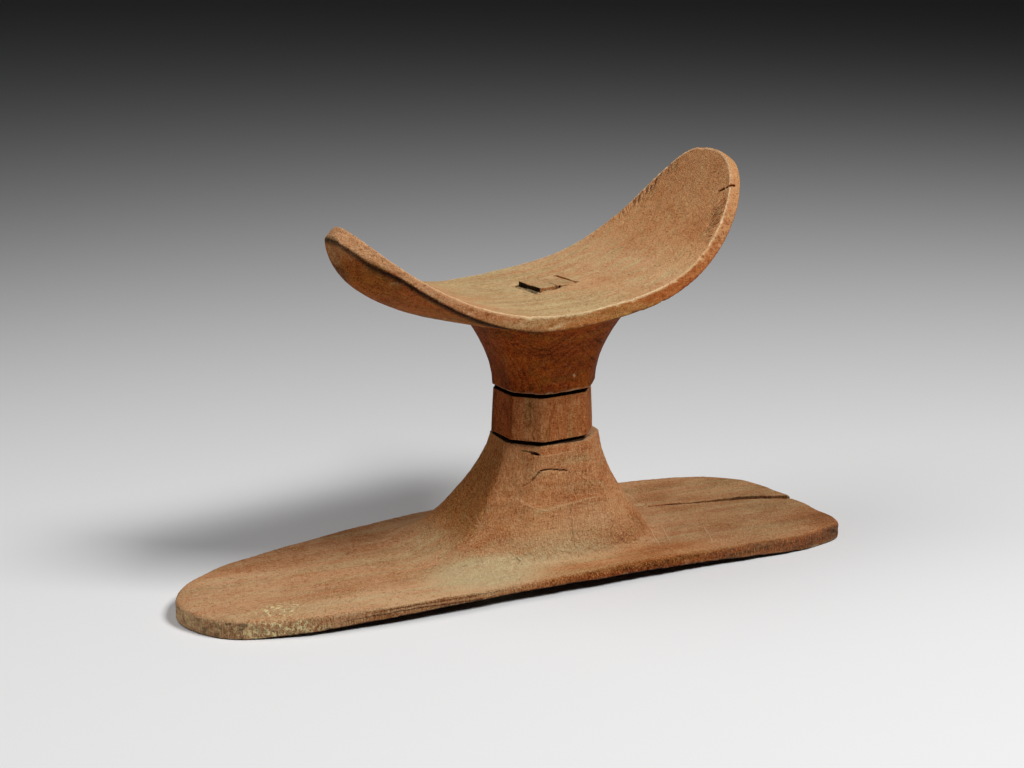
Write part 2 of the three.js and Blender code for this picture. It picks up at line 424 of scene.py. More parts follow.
def stem_field(g):
    """The stem: an octagon at the top that flares towards the plank."""
    flare_foot = PLANK_THICKNESS / 2
    part = np.clip((STEM_TOP - g.z) / (STEM_TOP - flare_foot), 0, 1.1)
    left, right = spread(part, FLARE_LEFT), spread(part, FLARE_RIGHT)
    reach = FLARE_BACK_LEFT * part * ease(-g.x, 0, 25) * ease(g.y, 0, 25)
    x = g.x + reach
    y = g.y - reach
    softness = 1.2 + 7 * part**1.5
    post = octagon(x, y, left, right, softness) - np.where(g.x < 0, 0.9, 0.8 + 0.9 * part)

    # Below a worn ridge the flare stands a little proud of the upright faces.
    ridge = np.interp(g.x[:, 0, 0], [-34, -23, -12, -3, 15, 27], [33, 34.6, 29.4, 30.6, 32, 29.5])
    below = ridge[:, None, None] - g.z
    step_out = 0.6 * ease(below, -0.9, 0.6) * np.exp(-np.maximum(below, 0) / 9)
    step_out = step_out * ease(-g.y, 8, 16)
    # The upper edge of the front is bevelled, deepest at its -X corner.
    bevel_low = np.interp(g.x[:, 0, 0], [-20, -12, 4, 17], [54.4, 52.6, 53.4, 55.6])[:, None, None]
    bevel = 0.9 * ease(g.z, bevel_low - 0.4, bevel_low + 3.6) * ease(-g.y, 4, 14)
    post = post - step_out + bevel
    return np.maximum(evened(post, g.step), g.z - STEM_TOP)


def base_field(g):
    fillet = 6 + 9 * ease(-g.x, 20, 45)
    field = smooth_min(plank_field(g), stem_field(g), fillet)
    field = np.maximum(field, underside(g.x) - g.z)
    slot = np.maximum(mortise(g.x, g.y, TENON_SIDES[1]), MORTISE_FLOOR - g.z)
    field = cut(cut(field, slot), slit(g.x, g.y, CRACK, (0.6, 3.0), 3.5 - g.z))
    for line, widths, front in ((STEM_CRACK, (0.6, 0.6), -20.6), (STEM_SPLIT, (1.4, 0.9), -17)):
        flat = [(x, z) for x, _, z in line]
        field = cut(field, slit(g.x, g.z, flat, widths, g.y - front))
    return field


def make_base():
    low, high = (-172, -53, -2.4), (137, 56, STEM_TOP + 2.4)
    points, faces, facing = skin(base_field, low, high, 0.6)
    up = np.maximum(facing[:, 2], 0)
    x, y, z = points.T
    stem = ease(z, 9, 20)
    # Shallow hollows left by the adze along the plank, and upright ones on the stem.
    lift = 0.22 * noise(points, (38, 13, 30), 1) * (1 - stem)
    lift += 0.18 * noise(points, (6, 6, 16), 2) * stem
    lift += 0.1 * noise(points, (9, 2.2, 2.2), 3) + 0.1 * noise(points, 1.6, 4)
    # Rough, torn wood along the middle of the front edge.
    rough = ease(-facing[:, 1], 0.3, 0.8) * (1 - stem) * ease(x, -60, -20)
    lift -= 0.25 * rough * ease(noise(points, (2.5, 1.5, 1.5), 8), -0.2, 0.7)
    # Upright tool marks, deepest on the two faces at -X.
    left_faces = stem * ease(-facing[:, 0], 0.25, 0.6)
    lift -= 0.1 * (0.3 * stem + left_faces) * ease(noise(points, (1.3, 1.3, 7), 6), 0.1, 0.6)
    # Nicks in the edges, most of them along the front.
    edge = np.exp(-(((z - PLANK_THICKNESS / 2) / 5) ** 2)) * (1 - up) * (1 - stem)
    lift -= 0.5 * edge * ease(noise(points, (7, 4, 2), 5), 0.35, 0.8)
    # The upper corners of the stem at +X are chipped.
    chipped = ease(z, STEM_TOP - 3, STEM_TOP - 0.6) * ease(x, 14, 20)
    lift -= 0.2 * chipped * ease(noise(points, 3, 7), -0.1, 0.5)
    # The feet, the mortise and the top of the stem stay true.
    resting = ease(z, 0.1, 1.2)
    inside = mortise(x, y, TENON_SIDES[1]) < 0.8
    lift = np.where(inside, 0, lift - 0.05) * resting
    flat_top = ease(z, STEM_TOP - 0.5, STEM_TOP - 0.1)
    return place("base_wood", points + facing * (lift * (1 - flat_top))[:, None], faces)


def block_field(g):
    x, y = turned(g.x, g.y, BLOCK_YAW, BLOCK_CENTRE)
    share = (g.z - BLOCK_BOTTOM) / (BLOCK_TOP - BLOCK_BOTTOM)
    size = 0.975 - 0.04 * np.clip(share, 0, 1)
    shape = scaled(OCTAGON, size)
    post = octagon(x, y, shape, shape, 0.9)
    middle = (BLOCK_BOTTOM + BLOCK_TOP) / 2
    ends = np.abs(g.z - middle) - (BLOCK_TOP - BLOCK_BOTTOM) / 2
    body = rounded(post, ends + 0.15, 0.4)
    land_shape = scaled(OCTAGON, LAND_SCALE)
    land = np.maximum(octagon(x, y, land_shape, land_shape, 1), ends - LAND_HEIGHT)
    return cut(np.minimum(body, land), mortise(g.x, g.y, TENON_SIDES[1]))


def make_block():
    low = (BLOCK_CENTRE[0] - 25, BLOCK_CENTRE[1] - 24, BLOCK_BOTTOM - 2.4)
    high = (BLOCK_CENTRE[0] + 25, BLOCK_CENTRE[1] + 24, BLOCK_TOP + 2.4)
    points, faces, facing = skin(block_field, low, high, 0.4)
    side = 1 - np.abs(facing[:, 2])
    lift = 0.16 * noise(points, (5, 5, 14), 11) + 0.1 * noise(points, (1.2, 1.2, 7), 12)
    lift -= 0.45 * ease(noise(points, 3, 13), 0.55, 0.95)
    outer = ease(mortise(points[:, 0], points[:, 1], TENON_SIDES[1]), 1, 4)
    points += facing * ((lift - 0.1) * side * outer)[:, None]
    return place("middle_block_wood", points, faces)


def at_end(x, pair):
    """The first of a pair at the -X end of the crescent and the second at its +X end."""
    return np.where(x < 0, *pair)


def bluntness(x, y):
    """The exponent that shapes the crescent's outline in plan."""
    return at_end(x, HORN_BLUNTNESS) + at_end(x, BACK_BLUNTER) * np.sign(y)


def rim_thickness(x):
    """The rim is thinner along the -X horn, though not at its tip."""
    left, right = RIM_THICKNESS
    return left + (right - left) * ease(x, -80, -25) + 2.2 * ease(-x, 78, 91)


def seat_height(x):
    return HORN_RISE * np.abs(x / SEAT_HALF_LENGTH) ** at_end(x, HORN_STEEPNESS)


def seat_to_stem(x, y, z):
    """Tilts, turns and moves coordinates from the crescent's own frame into the stem's."""
    x, z = turned_back(x, z, SEAT_TILT)
    x, y = turned_back(x, y, SEAT_YAW)
    return x + SEAT_CENTRE[0], y + SEAT_CENTRE[1], z + SEAT_LOW


def stem_to_seat(points):
    """The other way round, for points."""
    x, y, z = (points - (*SEAT_CENTRE, SEAT_LOW)).T
    x, y = turned(x, y, SEAT_YAW)
    x, z = turned(x, z, SEAT_TILT)
    return np.column_stack((x, y, z))


def rim_distance(local):
    """How far points of the crescent lie inside its rim, measured along the seat."""
    power = bluntness(local[:, 0], local[:, 1])
    steepness = at_end(local[:, 0], HORN_STEEPNESS)
    along = np.abs(local[:, 0] / SEAT_HALF_LENGTH) + 1e-6
    across = np.abs(local[:, 1] / SEAT_HALF_WIDTH) + 1e-6
    size = (along**power + across**power) ** (1 / power)
    climb = steepness * HORN_RISE * along ** (steepness - 1) / SEAT_HALF_LENGTH
    slope_along = (along / size) ** (power - 1) / (SEAT_HALF_LENGTH * np.hypot(1, climb))
    slope_across = (across / size) ** (power - 1) / SEAT_HALF_WIDTH
    return (1 - size) / np.hypot(slope_along, slope_across)


def rim_position(local):
    """How far along the rim and how far inside it points of the crescent lie, near a horn."""
    bend = 45
    angle = np.arctan2(local[:, 1], np.abs(local[:, 0]) - (SEAT_HALF_LENGTH - bend))
    return angle * bend, rim_distance(local)


def crescent_field(g):
    line_x = np.linspace(-SEAT_HALF_LENGTH - 4, SEAT_HALF_LENGTH + 4, 200)
    line = list(zip(line_x, seat_height(line_x)))
    away, share, side = along_line(g.x, g.z, line)
    depth = -away * side  # below the seat, square to it
    x = line_x[0] + (line_x[-1] - line_x[0]) * share

    along = np.abs(x / SEAT_HALF_LENGTH)
    across = np.abs(g.y / SEAT_HALF_WIDTH)

    power = bluntness(x, g.y)
    plan = SEAT_HALF_WIDTH * ((along**power + across**power) ** (1 / power) - 1)
    plan = evened(plan.astype(np.float32), g.step)
    reach = np.minimum(along, 1)
    half_width = SEAT_HALF_WIDTH * (1 - reach**power + 1e-6) ** (1 / power)
    share_across = np.minimum(np.abs(g.y) / half_width, 1)
    left, right = KEEL_IN_MIDDLE
    middle = left + (right - left) * ease(x, -15, 15)
    keel = middle + (at_end(x, KEEL_AT_HORN) - middle) * reach**2
    fullness = (1 - share_across**2) * (1 - reach**14)
    rim = rim_thickness(x)
    thickness = rim + (keel - rim) * fullness
    seat = rounded(-depth, plan + 0.1, 0.7)
    shell = rounded(seat, depth - thickness, 0.4)
    crack = [(p[0], p[1]) for p in stem_to_seat(np.array(RIM_CRACK))]
    slanting = x - 0.4 * np.maximum(depth, 0)
    return cut(shell, slit(slanting, g.y, crack, (0.45, 0.5), depth - 3.5))


def neckrest_field(g):
    """Drawn in the crescent's own frame, so the neck is looked up at each point's true place."""
    crescent = crescent_field(g)
    true_x, true_y, z = seat_to_stem(g.x, g.y, g.z)
    part = np.clip((z - NECK_BOTTOM) / (NECK_TOP - NECK_BOTTOM), 0, 1.2)
    size = 0.985 + 0.71 * part**1.85
    x, y = turned(true_x, true_y, BLOCK_YAW, NECK_CENTRE)
    shape = scaled(OCTAGON, size)
    faceted = octagon(x, y, shape, shape, 1.2)
    half_x, half_y = shape["half_x"] * 1.04, shape["half_y"] * 1.04
    oval = (np.hypot(x / half_x, y / half_y) - 1) * (half_x + half_y) / 2
    post = faceted + (oval - faceted) * np.clip(0.1 + 0.9 * part, 0, 1)
    post = evened(post.astype(np.float32), g.step)
    bottom = NECK_BOTTOM + 0.25 + 0.25 * ease(true_x, 0, 20)
    neck = np.maximum(post, np.maximum(bottom - z, z - NECK_TOP - 4))
    field = smooth_min(crescent, neck, 4)
    return cut(field, mortise(true_x, true_y, WEDGE_SIDES[1]))


def blade_marks(local, facing, inner):
    """Where strokes across the rim show: torn behind the +X horn, scored inside its front."""
    top = ease(facing[:, 2], 0, 0.25)
    torn = top * between(inner, 0.5, 1.5, 4, 9) * between(local[:, 0], 58, 68, 84, 90)
    scored = top * between(inner, 1.5, 2.5, 6, 11) * between(local[:, 0], 58, 66, 76, 82)
    return torn * ease(local[:, 1], 2, 14), scored * ease(-local[:, 1], 8, 16)


def make_neckrest():
    neck_depth = SEAT_LOW - NECK_BOTTOM
    low, high = (-96, -45, -neck_depth - 5), (96, 45, HORN_RISE + 9)
    points, faces, facing = skin(neckrest_field, low, high, 0.6)
    lift = 0.2 * noise(points, (30, 12, 20), 21) + 0.07 * noise(points, (9, 2, 2), 22)
    lift += 0.06 * noise(points, 1.6, 23)
    around, inner = rim_position(points)
    # Strokes of a blade across the rim: torn ones behind, finer ones inside the rim in front.
    strokes = noise(np.column_stack((around, inner, around * 0)), (1.1, 4, 1), 24)
    torn, scored = blade_marks(points, facing, inner)
    lift -= 0.5 * torn * ease(strokes, 0, 0.5)
    lift -= 0.45 * scored * ease(strokes, 0, 0.5)
    # Chips along the rim.
    rim = 1 - ease(np.abs(inner), 0.5, 2.5)
    lift -= 0.45 * rim * ease(noise(points, (4, 3, 3), 25), 0.45, 0.85)
    points = np.column_stack(seat_to_stem(*points.T))
    # The seat is worn down beside the tenon.
    x, y = turned(points[:, 0], points[:, 1], TENON_YAW, TENON_CENTRE)
    beside = between(x, TENON_SIDES[0] - 6, TENON_SIDES[0] - 1, -5, 2)
    beside = beside * (1 - ease(np.abs(y), TENON_HALF_WIDTH, TENON_HALF_WIDTH + 3))
    lift -= 1.3 * beside * ease(facing[:, 2], 0.5, 0.8)
    inside = (mortise(points[:, 0], points[:, 1], WEDGE_SIDES[1]) < 0.9) & (facing[:, 2] < 0.7)
    foot = ease(points[:, 2], NECK_BOTTOM + 0.8, NECK_BOTTOM + 1.6)
    lift = np.where(inside, 0, lift - 0.05) * foot
    turned_facing = np.column_stack(seat_to_stem(*facing.T)) - (*SEAT_CENTRE, SEAT_LOW)
    points += turned_facing * lift[:, None]
    return place("neckrest_wood", points, faces)


def bar_field(g, sides, foot, taper):
    """An upright bar in the tenon's own frame. Its +X side leans in by the taper at the foot."""
    share = np.clip((g.z - foot) / (HEAD_LEVEL - foot), 0, 1)
    right = sides[1] - taper * (1 - share)
    x_field = np.maximum(g.x - right, sides[0] - g.x)
    # Swollen at the head, where hardly any gap is seen.
    swollen = 0.2 * ease(g.z, HEAD_LEVEL - 5, HEAD_LEVEL - 3)
    plan = rounded(x_field, np.abs(g.y) - TENON_HALF_WIDTH, 0.3) - swollen
    ends = np.maximum(g.z - HEAD_LEVEL, foot - g.z)
    bar = rounded(plan, ends, 0.3)
    # Bits have broken out of the head where tenon and wedge meet, and at the far corner.
    for x, size in ((-0.4, 1.3), (WEDGE_SIDES[1], 1.1)):
        notch = np.maximum(np.abs(g.x - x) - size, g.y + TENON_HALF_WIDTH - size)
        bar = cut(bar, np.maximum(notch, HEAD_LEVEL - 3 - g.z))
    return bar


def make_bar(name, sides, foot, taper, seed):
    low = (sides[0] - 2, -TENON_HALF_WIDTH - 2, foot - 2)
    high = (sides[1] + 2, TENON_HALF_WIDTH + 2, HEAD_LEVEL + 2)
    points, faces, facing = skin(bar_field, low, high, 0.4, sides, foot, taper)
    # Wear only takes wood away, so the bar still slides in its mortise.
    worn = 0.12 + 0.1 * noise(points, (4, 4, 18), seed)
    worn += 0.25 * ease(noise(points, (1.2, 5, 3), seed + 1), 0.5, 0.9)
    # It has hardly worn near the head, where its sides fill the mortise.
    kept = 0.9 * ease(points[:, 2], foot + 5, HEAD_LEVEL - 5)
    worn *= np.where(np.abs(facing[:, 2]) > 0.7, 1, 1 - kept)
    points -= facing * np.maximum(worn, 0)[:, None]
    x, y = turned_back(points[:, 0], points[:, 1], TENON_YAW)
    points = np.column_stack((x + TENON_CENTRE[0], y + TENON_CENTRE[1], points[:, 2]))
    return place(name, points, faces)


# ---- materials ----


def linear(red, green, blue):
    """A colour given as 0 to 255 on a screen, as the shader wants it."""
    return (*[((v / 255 + 0.055) / 1.055) ** 2.4 for v in (red, green, blue)], 1)


class Shader:
    """Builds one node material. Sizes are in millimetres."""

    def __init__(self, name, roughness, specular):
        self.material = bpy.data.materials.new(name)
        self.material.use_nodes = True
        self.tree = self.material.node_tree
        self.surface = self.tree.nodes["Principled BSDF"]
        self.put(self.surface, {"Roughness": roughness, "Specular IOR Level": specular})
        self.coordinates = self.node("ShaderNodeTexCoord").outputs["Object"]
        self.wavering = self.made_to_waver(0.7, 4)

    def put(self, node, inputs):
        """Gives a node its inputs. Sockets are linked and plain values are set."""
        for name, value in inputs.items():
            if isinstance(value, bpy.types.NodeSocket):
                self.tree.links.new(value, node.inputs[name])
            else:
                node.inputs[name].default_value = value

    def node(self, kind, inputs=None, **settings):
        made = self.tree.nodes.new(kind)
        for name, value in settings.items():
            setattr(made, name, value)
        self.put(made, inputs or {})
        return made

    def vector(self, operation, a, b=None, output=0, **inputs):
        if b is not None:
            inputs[1] = b
        made = self.node("ShaderNodeVectorMath", {0: a, **inputs}, operation=operation)
        return made.outputs[output]

    def made_to_waver(self, reach, size):
        """The coordinates pushed about a little, so that lines drawn in them are not straight."""
        scaled_up = {"Vector": self.coordinates, "Scale": 1 / (MM * size), "Detail": 2.0}
        push = self.node("ShaderNodeTexNoise", scaled_up).outputs["Color"]
        push = self.vector("SUBTRACT", push, (0.5, 0.5, 0.5))
        return self.vector("ADD", self.coordinates, self.vector("SCALE", push, Scale=reach * MM))

    def line(self, points, width, through):
        """1 on a line along the surface and 0 half its width away from it. Distance along the
        axis called through hardly counts, so the line need not lie exactly on the surface."""
        squash = np.ones(3)
        squash[through] = 0.12
        here = self.vector("MULTIPLY", self.wavering, tuple(squash))
        path = [(np.array(p) + [*AXIS, 0]) * MM * squash for p in points]
        closest = None
        for start, end in zip(path, path[1:]):
            run = end - start
            off = self.vector("SUBTRACT", here, tuple(start))
            share = self.vector("DOT_PRODUCT", off, tuple(run / (run @ run)), "Value")
            share = self.node("ShaderNodeClamp", {0: share}).outputs[0]
            nearest = self.vector("SCALE", tuple(run), Scale=share)
            away = self.vector("DISTANCE", off, nearest, "Value")
            closest = away if closest is None else self.calc("MINIMUM", closest, away)
        return self.level(closest, 0.1 * width * MM, 0.5 * width * MM, 1, 0)

    def lines(self, drawn):
        """The strongest of several lines, each given as its points, width, axis and strength."""
        strongest = None
        for points, width, through, strength in drawn:
            mark = self.times(self.line(points, width, through), strength)
            strongest = mark if strongest is None else self.calc("MAXIMUM", strongest, mark)
        return strongest

    def painted(self, name):
        return self.node("ShaderNodeAttribute", attribute_name=name).outputs["Fac"]

    def lumps(self, size, detail=3, shift=0, distortion=0.0, roughness=0.5):
        """Noise from 0 to 1 with lumps of a size, which may differ by axis."""
        scale = [1 / (MM * s) for s in (size if isinstance(size, tuple) else (size,) * 3)]
        moves = {"Scale": scale, "Location": (shift, 2 * shift, 3 * shift)}
        moved = self.node("ShaderNodeMapping", {"Vector": self.coordinates, **moves}).outputs[0]
        look = {"Detail": detail, "Distortion": distortion, "Roughness": roughness}
        inputs = {"Vector": moved, "Scale": 1.0, **look}
        return self.node("ShaderNodeTexNoise", inputs).outputs["Fac"]

    def level(self, value, low, high, to_low=0.0, to_high=1.0):
        """Maps low..high onto another range, held at its ends."""
        inputs = {0: value, 1: low, 2: high, 3: to_low, 4: to_high}
        return self.node("ShaderNodeMapRange", inputs, interpolation_type="SMOOTHSTEP").outputs[0]

    def calc(self, operation, a, b):
        return self.node("ShaderNodeMath", {0: a, 1: b}, operation=operation).outputs[0]

    def times(self, a, b):
        return self.calc("MULTIPLY", a, b)

    def added(self, total, value, weight):
        """A total with one more value, times its weight."""
        return self.calc("ADD", total, self.times(value, weight))

    def blend(self, share, a, b, way="MIX"):
        inputs = {0: share, 6: a, 7: b}
        return self.node("ShaderNodeMix", inputs, data_type="RGBA", blend_type=way).outputs[2]

    def ramp(self, value, colours):
        """One of the two rows of wood colours."""
        made = self.node("ShaderNodeValToRGB", {0: value})
        elements = made.color_ramp.elements
        while len(elements) < len(colours):
            elements.new(0.5)
        for element, position, colour in zip(elements, COLOUR_STOPS, colours):
            element.position = position
            element.color = linear(*colour)
        return made.outputs[0]

    def finish(self, colour, height, depth, roughness):
        bump = self.node("ShaderNodeBump", {"Height": height, "Distance": depth * MM, "Strength": 1.0})
        inputs = {"Base Color": colour, "Roughness": roughness, "Normal": bump.outputs[0]}
        self.put(self.surface, inputs)
        return self.material


# Two rows of wood colours from pale to dark, one redder and one greyer, and where they stand.
COLOUR_STOPS = (0, 0.27, 0.5, 0.75, 1)
RED_WOOD = [(208, 164, 122), (191, 139, 97), (169, 106, 63), (136, 72, 33), (78, 33, 7)]
OLIVE_WOOD = [(203, 180, 134), (180, 148, 106), (155, 115, 72), (116, 79, 38), (56, 38, 14)]
# Multiplied in as painted shade, darker and redder, where the wood lies in shade.
SHADE_TINT = (0.97, 0.6, 0.17, 1)
WORN = linear(222, 186, 142)
# The colour of the bright line along the rim's inner arris.
BRIGHT_ARRIS = linear(240, 206, 164)
CRUST = linear(238, 216, 160)
DUST = linear(228, 206, 158)
# Near black, for soiling, dark lines and painted shade.
SOOT_AND_SHADE = linear(18, 9, 3)
SPECK = linear(66, 34, 14)
WOOD_ROUGHNESS = 0.8
WOOD_SHINE = 0.1
BUMP_DEPTH = 0.7
STROKE_SPACING = (1.0, 5.0)  # across and along the strokes of a blade on the rim
ARRIS_INSIDE = 0.8  # how far inside the rim its bright arris line lies


def stretched(size, across, axis):
    """A noise size that runs long along the grain's axis."""
    lengths = [across] * 3
    lengths[axis] = size
    return tuple(lengths)


def wood(name, grain_axis, seed, tooled_axis=2, scratches=(), dark_lines=(), streaky=0.2):
    """Old, dry, hand-carved wood. It reads these painted shares: tone, from pale to dark; hue,
    from reddish to olive; a tint of painted shade, darker and redder where the wood lies in
    shade; dust; real soiling, with painted shade in hollows, under the wood and between parts;
    wear, on edges; tooled, where a blade has torn the grain; and crust, pale and flaking. Tool
    marks run along an axis. Where that is None they run across the crescent's rim, whose inner
    arris then gets a bright line; this also reads rim_along and rim_inside. Scratches are pale
    lines and the dark lines are dark ones, for splits, holes and some painted shadow, and
    streaky is how strongly the grain's own streaks show."""
    s = Shader(name, WOOD_ROUGHNESS, WOOD_SHINE)
    broad = s.lumps(stretched(80, 6, grain_axis), 4, seed, 0.6)
    streaks = s.lumps(stretched(30, 1.3, grain_axis), 4, seed + 3, 0.3, 0.6)
    fibres = s.lumps(stretched(6, 0.4, grain_axis), 2, seed + 5)
    blotches = s.lumps(15, 4, seed + 7, 0.8)
    mottle = s.lumps(2.2, 5, seed + 9, 0.4, 0.7)
    specks = s.lumps(1.0, 3, seed + 11, 0.3, 0.6)
    grit = s.lumps(0.5, 1, seed + 21)
    if tooled_axis is None:
        across_rim = {
            "X": s.times(s.painted("rim_along"), RIM_REACH / STROKE_SPACING[0]),
            "Y": s.times(s.painted("rim_inside"), RIM_DEPTH / STROKE_SPACING[1]),
        }
        place_in = s.node("ShaderNodeCombineXYZ", across_rim).outputs[0]
        settings = {"Vector": place_in, "Scale": 1.0, "Detail": 3.0, "Distortion": 0.4}
        strokes = s.node("ShaderNodeTexNoise", settings).outputs["Fac"]
        # A bright line is painted along the arris inside the rim.
        offset = s.calc("SUBTRACT", s.painted("rim_inside"), ARRIS_INSIDE / RIM_DEPTH)
        from_arris = s.calc("ABSOLUTE", offset, 0)
        bright_arris = s.level(from_arris, 0.15 / RIM_DEPTH, 0.65 / RIM_DEPTH, 1, 0)
        bright_arris = s.times(bright_arris, s.level(mottle, 0.35, 0.6, 0.45, 1))
    else:
        strokes = s.lumps(stretched(4, 0.65, tooled_axis), 3, seed + 15, 0.6, 0.6)
    strokes = s.level(strokes, 0.3, 0.7)
    tooled = s.painted("tooled")

    shade = s.painted("tone")
    amounts = (
        (broad, 0.38), (streaks, streaky), (blotches, 0.36), (fibres, 0.24), (mottle, 0.6),
        (specks, 0.5), (grit, s.added(0.6, tooled, 0.6)),
    )
    for texture, amount in amounts:
        shade = s.added(shade, s.calc("SUBTRACT", texture, 0.5), amount)
    shade = s.added(shade, s.calc("SUBTRACT", 0.5, strokes), s.times(tooled, 0.65))
    own_hue = s.calc("SUBTRACT", s.lumps(stretched(55, 4, grain_axis), 3, seed + 17, 0.5), 0.5)
    hue = s.added(s.painted("hue"), own_hue, 1.6)
    colour = s.blend(s.level(hue, 0.1, 0.9), s.ramp(shade, RED_WOOD), s.ramp(shade, OLIVE_WOOD))

    # Painted shade: where the wood lies in shade, it is made darker and redder.
    colour = s.blend(s.painted("deep"), colour, s.blend(1.0, colour, SHADE_TINT, "MULTIPLY"))

    edge = s.times(s.painted("wear"), s.level(mottle, 0.35, 0.62, 0.15, 1))
    scuffs = s.lumps(stretched(2.6, 0.5, grain_axis), 3, seed + 13, 0.8)
    edge = s.calc("MAXIMUM", edge, s.level(scuffs, 0.6, 0.76, 0, 0.45))
    if scratches:
        broken = s.level(mottle, 0.3, 0.6, 0.4, 1)
        edge = s.calc("MAXIMUM", edge, s.times(s.lines(scratches), broken))
    colour = s.blend(edge, colour, s.blend(0.62, colour, WORN))
    if tooled_axis is None:
        bright_arris = s.times(bright_arris, s.level(blotches, 0.35, 0.5, 0.25, 0.9))
        colour = s.blend(bright_arris, colour, BRIGHT_ARRIS)
    dust = s.times(s.painted("dust"), s.level(mottle, 0.25, 0.7, 0.2, 1))
    colour = s.blend(dust, colour, DUST)
    flakes = s.level(s.lumps(1.6, 4, seed + 19, 0.5, 0.65), 0.5, 0.58)
    flakes = s.times(s.painted("crust"), flakes)
    colour = s.blend(flakes, colour, CRUST)
    pits = s.level(specks, 0.62, 0.74)
    colour = s.blend(s.times(pits, 0.35), colour, SPECK)
    # Soiling, painted shade and the dark lines all darken the colour towards near black.
    grime_and_shade = s.times(s.painted("dirt"), s.level(specks, 0.25, 0.5, 0.7, 1))
    if dark_lines:
        grime_and_shade = s.calc("MAXIMUM", grime_and_shade, s.lines(dark_lines))
    colour = s.blend(grime_and_shade, colour, SOOT_AND_SHADE)

    height = s.times(fibres, 0.35)
    weights = (
        (streaks, 0.3), (mottle, 0.9), (specks, 0.6), (pits, -0.6), (edge, 0.2), (grime_and_shade, -0.6),
        (flakes, 0.3), (grit, 0.4), (s.times(strokes, tooled), 1.0),
    )
    for texture, weight in weights:
        height = s.added(height, texture, weight)
    roughness = s.level(streaks, 0.2, 0.8, 0.65, 0.85)
    return s.finish(colour, height, BUMP_DEPTH, roughness)


# ---- put each piece on its body ----


def dress(piece, node, slot, material, **shares):
    """Paints the shares, gives the material and lets the piece stand for its CAD node. A share
    that isn't given is 0."""
    for name in ("tone", "hue", "deep", "dust", "dirt", "wear", "tooled", "crust"):
        paint(piece, name, shares.get(name, 0))
    piece.data.materials.clear()
    piece.data.materials.append(material)
    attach(piece, node)
    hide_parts(node)


def studied(piece):
    """A mesh's points, the way each one faces, how worn its shape makes it and the painted shade
    its hollows get.
    """
    points, facing = read(piece)
    fine = sharpness(piece, 2)
    wide = sharpness(piece, 8)
    wear = ease(fine, 0.05, 0.22) * 0.6 + ease(wide, 0.3, 1.2) * 0.4
    # Painted shade: points in hollows are darkened.
    dirt = ease(-fine, 0.08, 0.3) * 0.8
    return points, facing, wear, dirt


